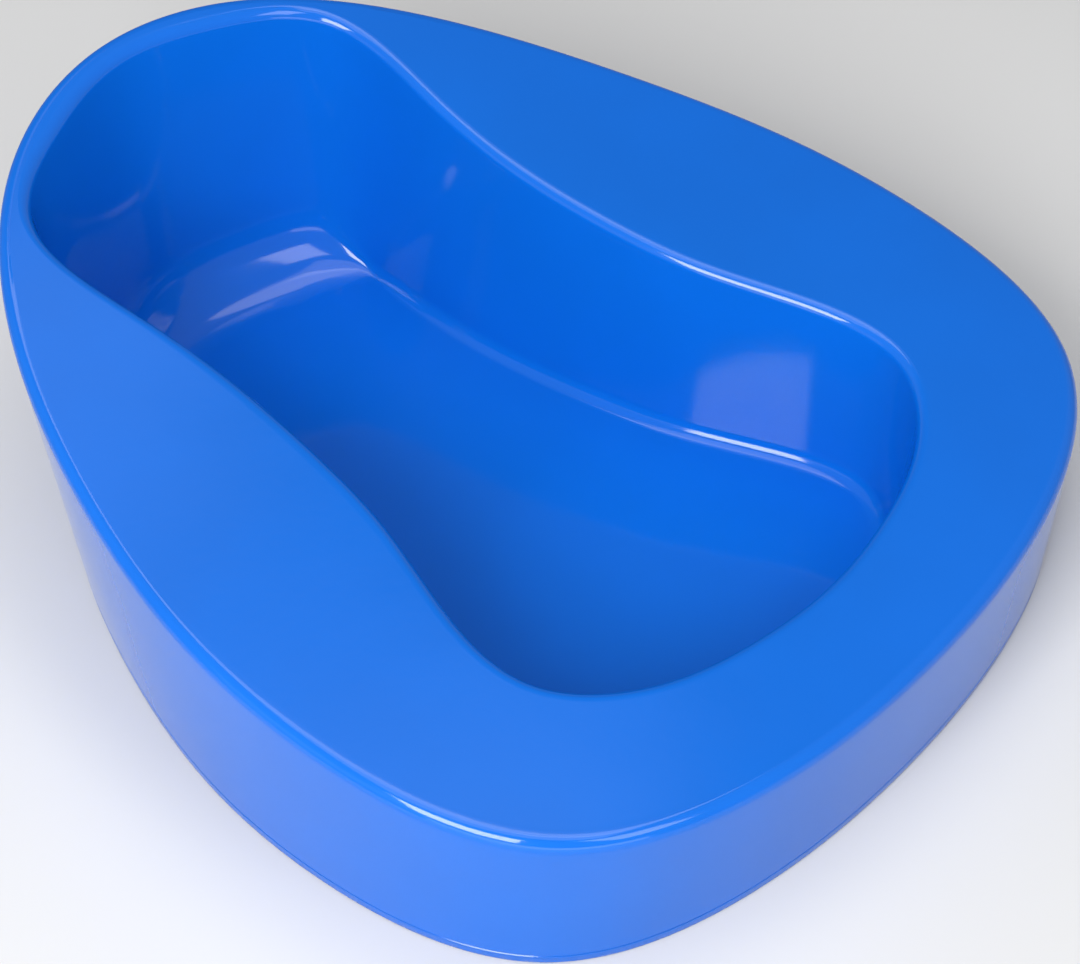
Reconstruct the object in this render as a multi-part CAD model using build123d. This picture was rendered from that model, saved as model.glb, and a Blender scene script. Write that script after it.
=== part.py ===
from build123d import *
import os
from math import cos, pi, radians, sin, sqrt, tan

# Bedpan with a wide flat seat deck round a pear-shaped basin, and a closed base.
# The shell is divided at its two edges into skirt, seat deck and basin, which meet face to face.
# Millimetres. The pan lies along Y, with its narrow, tall front end at +Y and its
# wide, low back end at -Y, and it is a mirror image about X = 0.
# The origin is on the ground, in the middle of the length and of the width.

# Driving dimensions
LENGTH = 360.0
WALL = 2.5
BASE_PLATE = 2.0
SEAM_HEIGHT = 4.0
RIM_ROUND = 4.5
OPENING_ROUND = 3.5

# Half of the outer edge of the deck, from the front end round to the back end
RIM_POINTS = [
    (0, 180),
    (65, 160),
    (111, 111),
    (138, 56),
    (155, 0),
    (160, -64),
    (138, -138),
    (70, -173),
    (0, -180),
]

# Half of the edge of the basin opening: front lobe, waist, back lobe
OPENING_POINTS = [
    (0, 171.5),
    (38.5, 163),
    (71.5, 142),
    (73, 95),
    (70, 59),
    (71, 31),
    (73.5, 8),
    (78, -17),
    (89.5, -52),
    (94.5, -97),
    (70, -123),
    (35.5, -135),
    (0, -139),
]

# The deck rises from back to front as a cubic of s, which is y over half the length
DECK_MIDDLE = 78.5
DECK_SLOPE = 24.0
DECK_SWEEP = 10.5
DECK_KICK = 8.0

# How far the foot of the skirt stands inside the rim, as a parabola of s
FOOT_INSET_MIDDLE = 5.5
FOOT_INSET_SLOPE = 6.0
FOOT_INSET_SWEEP = 5.5

# Basin: walls drawn in towards the floor, a small fillet, and a deep cove at the front
BASIN_DRAFT = 6.5
FLOOR_FILLET = 5.0
COVE_RADIUS = 25.0
COVE_STARTS_AT_Y = 96.0
COVE_FULL_AT_Y = 155.0

# Lip of the base cover, which sits inside the skirt
LIP_CLEARANCE = 0.2
LIP_THICKNESS = 2.0
LIP_TOP = 10.0

# Fineness of the curved surfaces
LOOP_POINTS = 48
ROUND_STEPS = 4
COVE_STEPS = 6
DECK_STEPS = 3
WALL_BANDS = 3


def deck_height(y):
    s = y / (LENGTH / 2)
    return DECK_MIDDLE + DECK_SLOPE * s + DECK_SWEEP * s**2 + DECK_KICK * s**3


def foot_inset(y):
    s = y / (LENGTH / 2)
    return FOOT_INSET_MIDDLE + FOOT_INSET_SLOPE * s + FOOT_INSET_SWEEP * s**2


def eased(t):
    """0 below 0, 1 above 1, and a smooth rise between them."""
    t = min(max(t, 0.0), 1.0)
    return t * t * (3 - 2 * t)


def quarter_round(height, radius):
    """How far a floor fillet stands in from the wall at a height above the floor."""
    if height >= radius:
        return 0.0
    return radius - sqrt(radius**2 - (radius - height) ** 2)


def sampled(half_outline):
    """Points and outward normals, evenly along the closed smooth outline."""
    mirrored = [(-x, y) for x, y in reversed(half_outline[1:-1])]
    loop = Spline(*(half_outline + mirrored), periodic=True)
    samples = []
    for i in range(LOOP_POINTS):
        along = loop.tangent_at(i / LOOP_POINTS)
        samples.append((loop.position_at(i / LOOP_POINTS), Vector(-along.Y, along.X)))
    return samples


RIM = sampled(RIM_POINTS)
OPENING = sampled(OPENING_POINTS)


def at_height(point, z):
    return Vector(point.X, point.Y, z)


def flare(y, below_deck):
    """How far the skirt stands inside the rim's widest line at a depth below the deck."""
    return foot_inset(y) * (below_deck - RIM_ROUND) / deck_height(y)


def rim_loop(inside, below_deck):
    """Points a given way inside the rim and a given way below the deck."""
    points = []
    for place, outward in RIM:
        moved = place - outward * inside
        z = deck_height(moved.Y) - below_deck
        points.append(at_height(moved - outward * flare(place.Y, below_deck), z))
    return points


def skirt_loop(z, inside=0.0):
    """Points round the skirt at a height, or round a face that far inside it."""
    points = []
    for place, outward in RIM:
        inset = inside + flare(place.Y, deck_height(place.Y) - z)
        points.append(at_height(place - outward * inset, z))
    return points


def opening_loop(outside, below_deck):
    """Points a given way outside the opening and a given way below the deck."""
    points = []
    for place, outward in OPENING:
        moved = place + outward * outside
        drawn_in = tan(radians(BASIN_DRAFT)) * below_deck
        points.append(at_height(moved - outward * drawn_in, deck_height(moved.Y) - below_deck))
    return points


def basin_loop(z, outside=0.0):
    """Points round the basin at a height, or round a face that far outside it."""
    above_floor = z - BASE_PLATE - WALL + outside
    points = []
    for place, outward in OPENING:
        cove_share = eased((place.Y - COVE_STARTS_AT_Y) / (COVE_FULL_AT_Y - COVE_STARTS_AT_Y))
        drawn_in = tan(radians(BASIN_DRAFT)) * (deck_height(place.Y) - z)
        fillet = quarter_round(above_floor, FLOOR_FILLET + outside) * (1 - cove_share)
        cove = quarter_round(above_floor, COVE_RADIUS + outside) * cove_share
        moved = place + outward * (outside - drawn_in - fillet) - Vector(0, cove)
        points.append(at_height(moved, z))
    return points


def between(first, last, steps):
    """Loops evenly spaced between two loops."""
    return [[a + (b - a) * (i / steps) for a, b in zip(first, last)] for i in range(1, steps)]


def deck_loops(rim, lip, below_deck=0.0):
    """Loops that carry the deck, or its underside, from the rim to the basin opening."""
    middle = []
    for loop in between(rim, lip, DECK_STEPS):
        middle.append([at_height(p, deck_height(p.Y) - below_deck) for p in loop])
    return [rim] + middle + [lip]


def surface(loops, ruled=False):
    """Skin through a row of closed loops."""
    return Shell.make_loft([closed(loop) for loop in loops], ruled).faces()


def wall(first, last):
    """Straight wall between two loops, in bands."""
    return surface([first] + between(first, last, WALL_BANDS) + [last], True)


def closed(loop):
    return Wire(Spline(*loop, periodic=True))


def flat(outer, *holes):
    """Level face inside a loop, with holes."""
    return [Face(closed(outer), [closed(hole) for hole in holes])]


def basin_skin(outside=0.0):
    """Walls, fillets and floor of the basin below the deck's edge, or their far side."""
    floor = BASE_PLATE + WALL - outside
    curved = COVE_RADIUS + outside
    shares = [(i / COVE_STEPS) ** 2 for i in range(COVE_STEPS, -1, -1)]
    low_loops = [basin_loop(floor + curved * share, outside) for share in shares]
    return wall(basin_top(outside), low_loops[0]) + surface(low_loops) + flat(low_loops[-1])


def basin_top(outside):
    """Where the basin's wall meets the deck's inner edge, on its near or its far side."""
    return opening_loop(outside, WALL if outside else OPENING_ROUND)


def skirt_top(inside):
    """Where the skirt meets the rolled rim, on its outer or its inner side."""
    return rim_loop(inside, WALL if inside else RIM_ROUND)


def skirt():
    """Outer wall of the pan, from its foot up to the widest line of the rim."""
    foot = [skirt_loop(SEAM_HEIGHT), skirt_loop(SEAM_HEIGHT, WALL)]
    top = [skirt_top(0), skirt_top(WALL)]
    faces = wall(foot[0], top[0]) + surface(top, True) + wall(top[1], foot[1]) + flat(*foot)
    return Solid(Shell(faces))


def seat_deck():
    """Seat surface with its rolled rim and the rounded edge of the basin opening."""
    turns = [pi / 2 * i / ROUND_STEPS for i in range(ROUND_STEPS + 1)]
    rim = [rim_loop(RIM_ROUND * (1 - cos(a)), RIM_ROUND * (1 - sin(a))) for a in turns]
    lip = [opening_loop(OPENING_ROUND * (1 - cos(a)), OPENING_ROUND * (1 - sin(a))) for a in turns]
    under = deck_loops(skirt_top(WALL), basin_top(WALL), WALL)
    faces = surface(rim) + surface(deck_loops(rim[-1], lip[-1])) + surface(lip)
    faces += surface([rim[0], under[0]], True) + surface(under)
    faces += surface([under[-1], lip[0]], True)
    return Solid(Shell(faces))


def basin():
    """Pear-shaped vessel that hangs from the deck's inner edge."""
    edge = surface([basin_top(0), basin_top(WALL)], True)
    return Solid(Shell(basin_skin() + basin_skin(WALL) + edge))


def base_cover():
    """Flat base with an edge flush with the skirt and a lip that sits inside it."""
    gap = WALL + LIP_CLEARANCE
    edge = [skirt_loop(0), skirt_loop(SEAM_HEIGHT)]
    lip = [skirt_loop(SEAM_HEIGHT, gap), skirt_loop(LIP_TOP, gap)]
    well = [skirt_loop(LIP_TOP, gap + LIP_THICKNESS), skirt_loop(BASE_PLATE, gap + LIP_THICKNESS)]
    faces = surface(edge, True) + surface(lip, True) + surface(well, True)
    faces += flat(edge[0]) + flat(edge[1], lip[0]) + flat(lip[1], well[0]) + flat(well[1])
    return Solid(Shell(faces))


NODES = {
    "seat_deck": seat_deck,
    "skirt": skirt,
    "basin": basin,
    "base_cover": base_cover,
}

if __name__ == "__main__":
    os.makedirs("parts", exist_ok=True)
    for name, build in NODES.items():
        export_step(build(), f"parts/{name}.step")
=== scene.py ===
from math import cos, pi, radians, sin, tan

import bmesh
import bpy
import numpy as np
from mathutils import Matrix, Vector


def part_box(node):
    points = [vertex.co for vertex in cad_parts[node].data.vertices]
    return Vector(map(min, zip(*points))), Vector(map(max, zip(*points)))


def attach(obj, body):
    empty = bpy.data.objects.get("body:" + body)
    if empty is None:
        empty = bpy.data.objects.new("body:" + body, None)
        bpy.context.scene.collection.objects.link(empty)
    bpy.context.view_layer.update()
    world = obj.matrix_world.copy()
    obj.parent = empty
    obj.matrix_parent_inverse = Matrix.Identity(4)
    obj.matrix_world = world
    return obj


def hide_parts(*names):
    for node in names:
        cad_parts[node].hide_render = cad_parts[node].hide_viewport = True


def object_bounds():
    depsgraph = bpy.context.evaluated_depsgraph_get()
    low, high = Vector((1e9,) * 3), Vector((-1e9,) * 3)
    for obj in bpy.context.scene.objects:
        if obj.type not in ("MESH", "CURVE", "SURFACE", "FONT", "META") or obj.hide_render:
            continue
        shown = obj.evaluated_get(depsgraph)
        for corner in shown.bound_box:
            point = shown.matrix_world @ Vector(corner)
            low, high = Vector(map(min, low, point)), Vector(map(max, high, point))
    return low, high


# A glossy moulded bedpan: a contoured seat deck round a deep basin, on a closed base.
# Metres. The pan lies along Y with its tall, narrow front at +Y, and +Z is up.

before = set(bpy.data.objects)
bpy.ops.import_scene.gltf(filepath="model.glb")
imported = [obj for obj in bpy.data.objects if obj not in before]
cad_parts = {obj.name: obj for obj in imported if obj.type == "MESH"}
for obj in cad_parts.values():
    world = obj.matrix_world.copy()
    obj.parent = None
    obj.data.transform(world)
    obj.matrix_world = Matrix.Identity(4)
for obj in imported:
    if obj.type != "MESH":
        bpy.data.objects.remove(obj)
cad_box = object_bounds()
shell_low, shell_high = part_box("skirt")
cover_low, cover_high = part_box("base_cover")

# Driving dimensions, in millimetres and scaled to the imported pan
LENGTH = 360.0
MM = (shell_high.y - shell_low.y) / LENGTH
WALL = 2.5
BASE_PLATE = 2.0
SEAM_HEIGHT = 4.0
LIP_TOP = (cover_high.z - cover_low.z) / MM
LIP_CLEARANCE = 0.2
LIP_THICKNESS = 2.0
RIM_ROUND = 4.5
OPENING_ROUND = 3.5
SEAM_BEVEL = 0.35
FOOT_ROUND = 1.0
BASIN_DRAFT = radians(6.5)
FLOOR_FILLET = 5.0
COVE_RADIUS = 25.0
COVE_STARTS_AT_Y = 96.0
COVE_FULL_AT_Y = 155.0

# The deck rises from back to front as a cubic of s, which is y over half the length
DECK_MIDDLE, DECK_SLOPE, DECK_SWEEP, DECK_KICK = 78.5, 24.0, 10.5, 8.0

# How far the foot of the skirt stands inside the rim, as a parabola of s
FOOT_INSET_MIDDLE, FOOT_INSET_SLOPE, FOOT_INSET_SWEEP = 5.5, 6.0, 5.5

# Half of the deck's outer edge and half of the basin opening, from the front to the back
RIM_POINTS = [
    (0, 180), (65, 160), (111, 111), (138, 56), (155, 0), (160, -64),
    (138, -138), (70, -173), (0, -180),
]
OPENING_POINTS = [
    (0, 171.5), (38.5, 163), (71.5, 142), (73, 95), (70, 59), (71, 31), (73.5, 8),
    (78, -17), (89.5, -52), (94.5, -97), (70, -123), (35.5, -135), (0, -139),
]

# Fineness of the meshes
AROUND = 480
ROUND_STEPS = 10
DECK_STEPS = 36
WALL_STEPS = 16
COVE_STEPS = 28
FLOOR_STEPS = 16
FOOT_STEPS = 4
HIDDEN_WALL_STEPS = 4
HIDDEN_DECK_STEPS = 12
HIDDEN_FLOOR_STEPS = 6
OUTLINE_SAMPLES = 40001
MERGE_DISTANCE = 0.001
SHARP_ANGLE = radians(38.0)

# The plastic. Noise scales are per metre, depths are in metres, and a pair of limits holds
# the values of a noise that are carried onto 0 and 1
PLASTIC_IOR = 1.5
SHELL_COLOUR, SHELL_ROUGHNESS = (0.0025, 0.126, 0.59), 0.08
COVER_COLOUR, COVER_ROUGHNESS = (0.0023, 0.118, 0.56), 0.13
BROAD_LIMITS = (0.30, 0.70)
PIGMENT_SCALE, PIGMENT_SPREAD = 14.0, 0.03
GLOSS_SCALE, GLOSS_LEAST, GLOSS_MOST = 70.0, 0.85, 1.2
SWELL_SCALE, SWELL_DEPTH = 22.0, 0.00008
PEEL_SCALE, PEEL_DEPTH = 280.0, 0.000012
WIPE_TURNS, WIPE_TILT = (35, -55), (0.2, 0.1)
WIPE_STRETCH, WIPE_LIMITS = (9, 900, 900), (0.62, 0.70)
WIPE_PATCH_SCALE, WIPE_PATCH_LIMITS = 18.0, (0.48, 0.62)
WIPE_ROUGHNESS = 0.03
RUB_TOP = 3.0 * MM
RUB_SCALE, RUB_LIMITS = 240.0, (0.45, 0.70)
RUB_DEPTH, RUB_ROUGHNESS = 0.000012, 0.30
RUB_FADE, RUB_HAZE = 0.8, 0.06

# The studio. Angles are in degrees, and azimuth is counted from +X towards +Y
GROUND_SIZE, GROUND_GAP = 8.0, 0.0002
GROUND_SPECULAR = 0.2
GROUND_NOISE_SCALE = 6.0
GROUND_GREYS, GROUND_ROUGHNESS = (0.66, 0.68), (0.85, 0.95)
AIR_RADIANCE, DIM_RADIANCE, GLOW_RADIANCE = 0.33, 0.14, 0.6
DIM_LOBE = {"azimuth": 48, "elevation": 38, "reach": 42, "core": 6}
GLOW_LOBE = {"azimuth": 29, "elevation": 62, "reach": 9, "core": 2}
LIGHTS = [  # name, azimuth, elevation, width, height, distance, radiance
    ("key", -160, 39, 28, 26, 1.6, 12.5),
    ("fill", -96.5, 46, 16, 22, 1.6, 3.6),
    ("top", 27, 78, 34, 20, 1.8, 2.3),
    ("zenith", -140, 82, 40, 24, 1.8, 1.3),
    ("front_low", -138, 9, 70, 14, 1.8, 2.0),
    ("left_low", 170, 22, 36, 26, 1.8, 0.3),
]
CAMERA_AZIMUTH, CAMERA_ELEVATION, CAMERA_ROLL = -139.44, 45.11, -0.61
CAMERA_TARGET, CAMERA_DISTANCE = (0.001, -0.0183, 0.029), 1.0616
CAMERA_SENSOR, CAMERA_LENS = 36.0, 103.9


def deck_height(y):
    s = y / (LENGTH / 2)
    return DECK_MIDDLE + DECK_SLOPE * s + DECK_SWEEP * s**2 + DECK_KICK * s**3


def foot_inset(y):
    s = y / (LENGTH / 2)
    return FOOT_INSET_MIDDLE + FOOT_INSET_SLOPE * s + FOOT_INSET_SWEEP * s**2


def eased(t):
    t = np.clip(t, 0.0, 1.0)
    return t * t * (3 - 2 * t)


def quarter_round(height, radius):
    below = np.clip(radius - height, 0.0, radius)
    return radius - np.sqrt(radius**2 - below**2)


def sampled(half_outline):
    """Evenly spaced points and outward normals along a smooth closed outline."""
    half = np.array(half_outline, float)
    knots = np.vstack([half, half[-2:0:-1] * (-1, 1)])
    spans = np.linalg.norm(np.roll(knots, -1, 0) - knots, axis=1)
    count = len(knots)
    matrix = np.zeros((count, count))
    for i in range(count):
        before = spans[i - 1]
        matrix[i, i - 1] = before
        matrix[i, i] = 2 * (before + spans[i])
        matrix[i, (i + 1) % count] = spans[i]
    slopes = (np.roll(knots, -1, 0) - knots) / spans[:, None]
    bends = np.linalg.solve(matrix, 6 * (slopes - np.roll(slopes, 1, 0)))
    starts = np.concatenate([[0.0], np.cumsum(spans)])

    def place(parameter):
        span = np.clip(np.searchsorted(starts, parameter, "right") - 1, 0, count - 1)
        nxt = (span + 1) % count
        h = spans[span][:, None]
        b = (parameter - starts[span])[:, None] / h
        a = 1 - b
        point = a * knots[span] + b * knots[nxt]
        point += h**2 / 6 * ((a**3 - a) * bends[span] + (b**3 - b) * bends[nxt])
        along = (knots[nxt] - knots[span]) / h
        along += h / 6 * ((1 - 3 * a**2) * bends[span] + (3 * b**2 - 1) * bends[nxt])
        return point, along

    fine = np.linspace(0, starts[-1], OUTLINE_SAMPLES)
    line, _ = place(fine)
    run = np.concatenate([[0.0], np.cumsum(np.linalg.norm(np.diff(line, axis=0), axis=1))])
    even = np.interp(np.arange(AROUND) / AROUND * run[-1], run, fine)
    point, along = place(even)
    along /= np.linalg.norm(along, axis=1)[:, None]
    return point, np.column_stack([-along[:, 1], along[:, 0]])


RIM, RIM_OUT = sampled(RIM_POINTS)
OPENING, OPENING_OUT = sampled(OPENING_POINTS)


def ring(plan, z):
    return np.column_stack([plan, np.broadcast_to(z, len(plan))])


def flare(y, below_deck):
    return (foot_inset(y) * (below_deck - RIM_ROUND) / deck_height(y))[:, None]


def rim_ring(inside, below_deck):
    moved = RIM - RIM_OUT * inside
    z = deck_height(moved[:, 1]) - below_deck
    return ring(moved - RIM_OUT * flare(RIM[:, 1], below_deck), z)


def skirt_ring(z, inside=0.0):
    y = RIM[:, 1]
    return ring(RIM - RIM_OUT * (inside + flare(y, deck_height(y) - z)), z)


def opening_ring(outside, below_deck):
    moved = OPENING + OPENING_OUT * outside
    z = deck_height(moved[:, 1]) - below_deck
    return ring(moved - OPENING_OUT * tan(BASIN_DRAFT) * below_deck, z)


def basin_ring(z, outside=0.0):
    above_floor = z - BASE_PLATE - WALL + outside
    y = OPENING[:, 1]
    share = eased((y - COVE_STARTS_AT_Y) / (COVE_FULL_AT_Y - COVE_STARTS_AT_Y))
    drawn_in = tan(BASIN_DRAFT) * (deck_height(y) - z)
    fillet = quarter_round(above_floor, FLOOR_FILLET) * (1 - share)
    cove = quarter_round(above_floor, COVE_RADIUS) * share
    plan = OPENING + OPENING_OUT * (outside - drawn_in - fillet)[:, None]
    plan[:, 1] -= cove
    return ring(plan, z)


def between(first, last, steps, height=None):
    """Rings strictly between two rings, laid on a height field if one is given."""
    rings = []
    for i in range(1, steps):
        mixed = first + (last - first) * (i / steps)
        if height is not None:
            mixed[:, 2] = height(mixed[:, 1])
        rings.append(mixed)
    return rings


def to_axis(outer, steps):
    """Rings that close a level face onto the line X = 0."""
    return [outer * (1 - i / steps, 1, 1) for i in range(1, steps + 1)]


def basin_rings(outside):
    """From the foot of the deck's inner edge down to the floor's outline."""
    floor = BASE_PLATE + WALL - outside
    shares = [(i / COVE_STEPS) ** 2 for i in range(COVE_STEPS, -1, -1)]
    return [basin_ring(floor + COVE_RADIUS * share, outside) for share in shares]


def shell_rings():
    turns = [pi / 2 * i / ROUND_STEPS for i in range(ROUND_STEPS + 1)]
    low = basin_rings(0.0)
    wall_top = opening_ring(0, OPENING_ROUND)
    lip = [opening_ring(OPENING_ROUND * (1 - cos(a)), OPENING_ROUND * (1 - sin(a))) for a in turns]
    rim = [rim_ring(RIM_ROUND * (1 - cos(a)), RIM_ROUND * (1 - sin(a))) for a in turns]
    foot = skirt_ring(SEAM_HEIGHT + SEAM_BEVEL)
    rings = to_axis(low[-1], FLOOR_STEPS)[::-1] + low[::-1]
    rings += between(low[0], wall_top, WALL_STEPS) + lip
    rings += between(lip[-1], rim[-1], DECK_STEPS, deck_height) + rim[::-1]
    rings += between(rim[0], foot, WALL_STEPS) + [foot]
    rings += [skirt_ring(SEAM_HEIGHT, SEAM_BEVEL), skirt_ring(SEAM_HEIGHT, WALL)]
    under_rim = rim_ring(WALL, WALL)
    under_lip = opening_ring(WALL, WALL)
    back = basin_rings(WALL)
    rings += between(rings[-1], under_rim, HIDDEN_WALL_STEPS) + [under_rim]
    rings += between(under_rim, under_lip, HIDDEN_DECK_STEPS, lambda y: deck_height(y) - WALL)
    rings += [under_lip] + between(under_lip, back[0], HIDDEN_WALL_STEPS) + back[::2]
    return rings + to_axis(back[-1], HIDDEN_FLOOR_STEPS)


def cover_rings():
    gap = WALL + LIP_CLEARANCE
    turns = [pi / 2 * i / FOOT_STEPS for i in range(FOOT_STEPS + 1)]
    foot = [skirt_ring(FOOT_ROUND * (1 - cos(a)), FOOT_ROUND * (1 - sin(a))) for a in turns]
    rings = to_axis(foot[0], FLOOR_STEPS)[::-1] + foot
    rings += [skirt_ring(SEAM_HEIGHT - SEAM_BEVEL), skirt_ring(SEAM_HEIGHT, SEAM_BEVEL)]
    rings += [skirt_ring(SEAM_HEIGHT, gap), skirt_ring(LIP_TOP, gap)]
    rings += [skirt_ring(LIP_TOP, gap + LIP_THICKNESS), skirt_ring(BASE_PLATE, gap + LIP_THICKNESS)]
    return rings + to_axis(rings[-1], HIDDEN_FLOOR_STEPS)


def lofted(name, rings):
    """A closed mesh of quads through the rings; the first and the last lie on X = 0."""
    points = np.vstack(rings) * MM
    faces = []
    for r in range(len(rings) - 1):
        for i in range(AROUND):
            j = (i + 1) % AROUND
            a, b = r * AROUND, (r + 1) * AROUND
            faces.append((a + i, b + i, b + j, a + j))
    mesh = bpy.data.meshes.new(name)
    mesh.from_pydata(points.tolist(), [], faces)
    work = bmesh.new()
    work.from_mesh(mesh)
    bmesh.ops.remove_doubles(work, verts=work.verts, dist=MERGE_DISTANCE * MM)
    bmesh.ops.recalc_face_normals(work, faces=work.faces)
    work.to_mesh(mesh)
    work.free()
    mesh.validate()
    mesh.shade_smooth()
    mesh.set_sharp_from_angle(angle=SHARP_ANGLE)
    piece = bpy.data.objects.new(name, mesh)
    bpy.context.scene.collection.objects.link(piece)
    return piece


def node(tree, kind, inputs, **properties):
    """Adds a shader node, sets its properties, and sets or links its inputs."""
    made = tree.nodes.new("ShaderNode" + kind)
    for name, value in properties.items():
        setattr(made, name, value)
    for name, value in inputs.items():
        if isinstance(value, bpy.types.NodeSocket):
            tree.links.new(value, made.inputs[name])
        else:
            made.inputs[name].default_value = value
    return made


def noise(tree, place, scale, detail=2.0):
    made = node(tree, "TexNoise", {"Vector": place, "Scale": scale, "Detail": detail})
    return made.outputs[0]


def remapped(tree, value, low, high, to_low=0.0, to_high=1.0):
    """Carries low..high smoothly onto to_low..to_high."""
    limits = {"From Min": low, "From Max": high, "To Min": to_low, "To Max": to_high}
    made = node(tree, "MapRange", {"Value": value, **limits}, interpolation_type="SMOOTHSTEP")
    return made.outputs["Result"]


def combined(tree, operation, first, second):
    return node(tree, "Math", {0: first, 1: second}, operation=operation).outputs[0]


def shaded(tree, value, low_colour, high_colour):
    """Colour between two colours, by a value from 0 to 1."""
    ramp = node(tree, "ValToRGB", {"Fac": value})
    ramp.color_ramp.elements[0].color = (*low_colour, 1.0)
    ramp.color_ramp.elements[1].color = (*high_colour, 1.0)
    return ramp.outputs["Color"]


def hairlines(tree, place, turn):
    """Fine straight wiping marks that run one way, gathered in patches."""
    settings = {"Vector": place, "Rotation": (*WIPE_TILT, radians(turn)), "Scale": WIPE_STRETCH}
    stretched = node(tree, "Mapping", settings).outputs["Vector"]
    lines = remapped(tree, noise(tree, stretched, 1.0, detail=3.0), *WIPE_LIMITS)
    patches = remapped(tree, noise(tree, place, WIPE_PATCH_SCALE, detail=1.0), *WIPE_PATCH_LIMITS)
    return combined(tree, "MULTIPLY", lines, patches)


def plastic(name, colour, gloss_roughness):
    """Glossy moulded plastic: cloudy pigment, a faintly rippled skin, wiping marks, a rubbed foot."""
    material = bpy.data.materials.new(name)
    material.use_nodes = True
    tree = material.node_tree
    shader = tree.nodes["Principled BSDF"]
    shader.inputs["IOR"].default_value = PLASTIC_IOR

    place = node(tree, "TexCoord", {}).outputs["Object"]
    height = node(tree, "SeparateXYZ", {"Vector": place}).outputs["Z"]
    marks = combined(tree, "MAXIMUM", *[hairlines(tree, place, turn) for turn in WIPE_TURNS])
    near_foot = remapped(tree, height, RUB_TOP, 0.0)
    broken = remapped(tree, noise(tree, place, RUB_SCALE, detail=4.0), *RUB_LIMITS)
    rubbed = combined(tree, "MULTIPLY", near_foot, broken)

    deep = [channel * (1 - PIGMENT_SPREAD) for channel in colour]
    bright = [channel * (1 + PIGMENT_SPREAD) for channel in colour]
    cloud = remapped(tree, noise(tree, place, PIGMENT_SCALE, detail=3.0), *BROAD_LIMITS)
    dull = [channel * RUB_FADE + RUB_HAZE for channel in colour]
    mix = {"Fac": rubbed, "Color1": shaded(tree, cloud, deep, bright), "Color2": (*dull, 1.0)}
    pigment = node(tree, "MixRGB", mix).outputs["Color"]
    tree.links.new(pigment, shader.inputs["Base Color"])

    least, most = GLOSS_LEAST * gloss_roughness, GLOSS_MOST * gloss_roughness
    uneven = noise(tree, place, GLOSS_SCALE, detail=3.0)
    skin = remapped(tree, uneven, *BROAD_LIMITS, least, most)
    wiped = combined(tree, "ADD", skin, combined(tree, "MULTIPLY", marks, WIPE_ROUGHNESS))
    worn = combined(tree, "ADD", wiped, combined(tree, "MULTIPLY", rubbed, RUB_ROUGHNESS))
    tree.links.new(worn, shader.inputs["Roughness"])

    swell = {"Height": noise(tree, place, SWELL_SCALE, detail=1.0), "Distance": SWELL_DEPTH}
    waves = node(tree, "Bump", swell).outputs["Normal"]
    peel = {"Height": noise(tree, place, PEEL_SCALE), "Distance": PEEL_DEPTH, "Normal": waves}
    fine = node(tree, "Bump", peel).outputs["Normal"]
    cut = {"Height": rubbed, "Distance": RUB_DEPTH, "Normal": fine}
    scuffed = node(tree, "Bump", cut, invert=True).outputs["Normal"]
    tree.links.new(scuffed, shader.inputs["Normal"])
    return material


def floor():
    """A pale matt sheet, very slightly uneven."""
    bpy.ops.mesh.primitive_plane_add(size=GROUND_SIZE, location=(0, 0, cad_box[0][2] - GROUND_GAP))
    plane = bpy.context.object
    plane.name = "floor"
    material = bpy.data.materials.new("floor")
    material.use_nodes = True
    tree = material.node_tree
    shader = tree.nodes["Principled BSDF"]
    shader.inputs["Specular IOR Level"].default_value = GROUND_SPECULAR
    place = node(tree, "TexCoord", {}).outputs["Object"]
    uneven = noise(tree, place, GROUND_NOISE_SCALE, detail=3.0)
    tone = shaded(tree, uneven, *[(grey, grey, grey) for grey in GROUND_GREYS])
    tree.links.new(tone, shader.inputs["Base Color"])
    matt = remapped(tree, uneven, *BROAD_LIMITS, *GROUND_ROUGHNESS)
    tree.links.new(matt, shader.inputs["Roughness"])
    plane.data.materials.append(material)


def toward(azimuth, elevation):
    """Unit vector; azimuth is counted from +X towards +Y."""
    a, e = radians(azimuth), radians(elevation)
    return Vector((cos(a) * cos(e), sin(a) * cos(e), sin(e)))


def camera():
    back = toward(CAMERA_AZIMUTH, CAMERA_ELEVATION)
    right = Vector((0, 0, 1)).cross(back).normalized()
    up = back.cross(right)
    roll = radians(CAMERA_ROLL)
    across = right * cos(roll) + up * sin(roll)
    above = up * cos(roll) - right * sin(roll)
    view = Matrix((across, above, back)).transposed().to_4x4()
    view.translation = Vector(CAMERA_TARGET) + back * CAMERA_DISTANCE
    data = bpy.data.cameras.new("camera")
    data.sensor_width = CAMERA_SENSOR
    data.lens = CAMERA_LENS
    holder = bpy.data.objects.new("camera", data)
    holder.matrix_world = view
    bpy.context.scene.collection.objects.link(holder)
    bpy.context.scene.camera = holder


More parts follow.
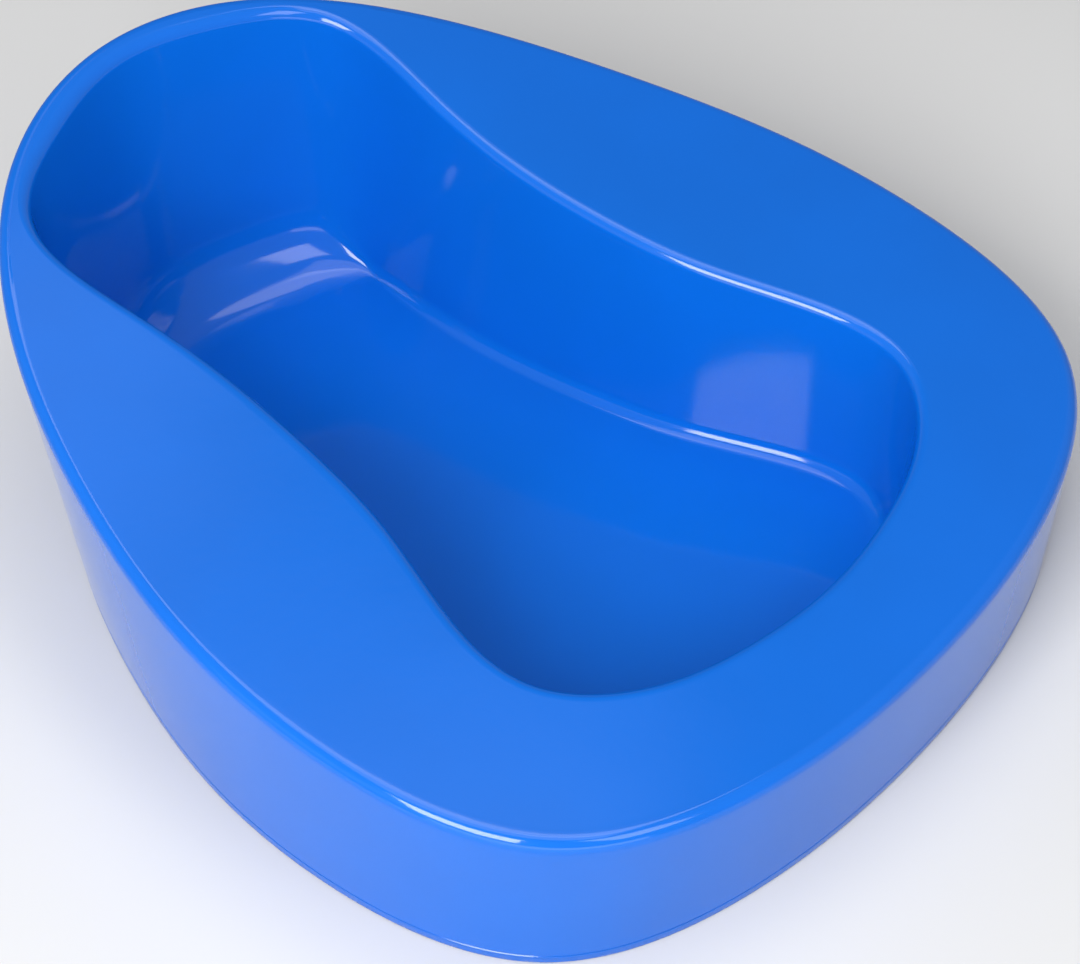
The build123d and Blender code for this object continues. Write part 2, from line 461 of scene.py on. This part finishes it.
def softbox(name, azimuth, elevation, width, height, distance, radiance):
    """An area light aimed at the origin. Width and height are the angles that it fills."""
    light = bpy.data.lights.new(name, "AREA")
    light.shape = "RECTANGLE"
    light.size = 2 * distance * tan(radians(width / 2))
    light.size_y = 2 * distance * tan(radians(height / 2))
    light.energy = radiance * pi * light.size * light.size_y
    holder = bpy.data.objects.new(name, light)
    holder.location = toward(azimuth, elevation) * distance
    holder.rotation_euler = toward(azimuth, elevation).to_track_quat("Z", "Y").to_euler()
    bpy.context.scene.collection.objects.link(holder)


def lobe(tree, direction, azimuth, elevation, reach, core, far_value, core_value):
    """Goes smoothly from one value to another within some degrees of a direction."""
    axis = toward(azimuth, elevation)
    along = node(tree, "VectorMath", {0: direction, 1: axis}, operation="DOT_PRODUCT").outputs["Value"]
    return remapped(tree, along, cos(radians(reach)), cos(radians(core)), far_value, core_value)


def studio_air():
    """Even soft light from all round, dimmer behind the pan, with one faint glow above it."""
    world = bpy.data.worlds.new("studio")
    world.use_nodes = True
    tree = world.node_tree
    direction = node(tree, "TexCoord", {}).outputs["Generated"]
    dim = lobe(tree, direction, **DIM_LOBE, far_value=AIR_RADIANCE, core_value=DIM_RADIANCE)
    glow = lobe(tree, direction, **GLOW_LOBE, far_value=0.0, core_value=GLOW_RADIANCE)
    strength = combined(tree, "ADD", dim, glow)
    tree.links.new(strength, tree.nodes["Background"].inputs["Strength"])
    tree.nodes["Background"].inputs["Color"].default_value = (1, 1, 1, 1)
    bpy.context.scene.world = world


studio_air()
for light in LIGHTS:
    softbox(*light)
floor()
camera()
bpy.context.scene.view_settings.view_transform = "Standard"

pan = lofted("pan_shell_skin", shell_rings())
pan.data.materials.append(plastic("shell_plastic", SHELL_COLOUR, SHELL_ROUGHNESS))
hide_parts("seat_deck", "skirt", "basin")
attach(pan, "root")

cover = lofted("base_cover_skin", cover_rings())
cover.data.materials.append(plastic("base_plastic", COVER_COLOUR, COVER_ROUGHNESS))
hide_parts("base_cover")
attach(cover, "root")
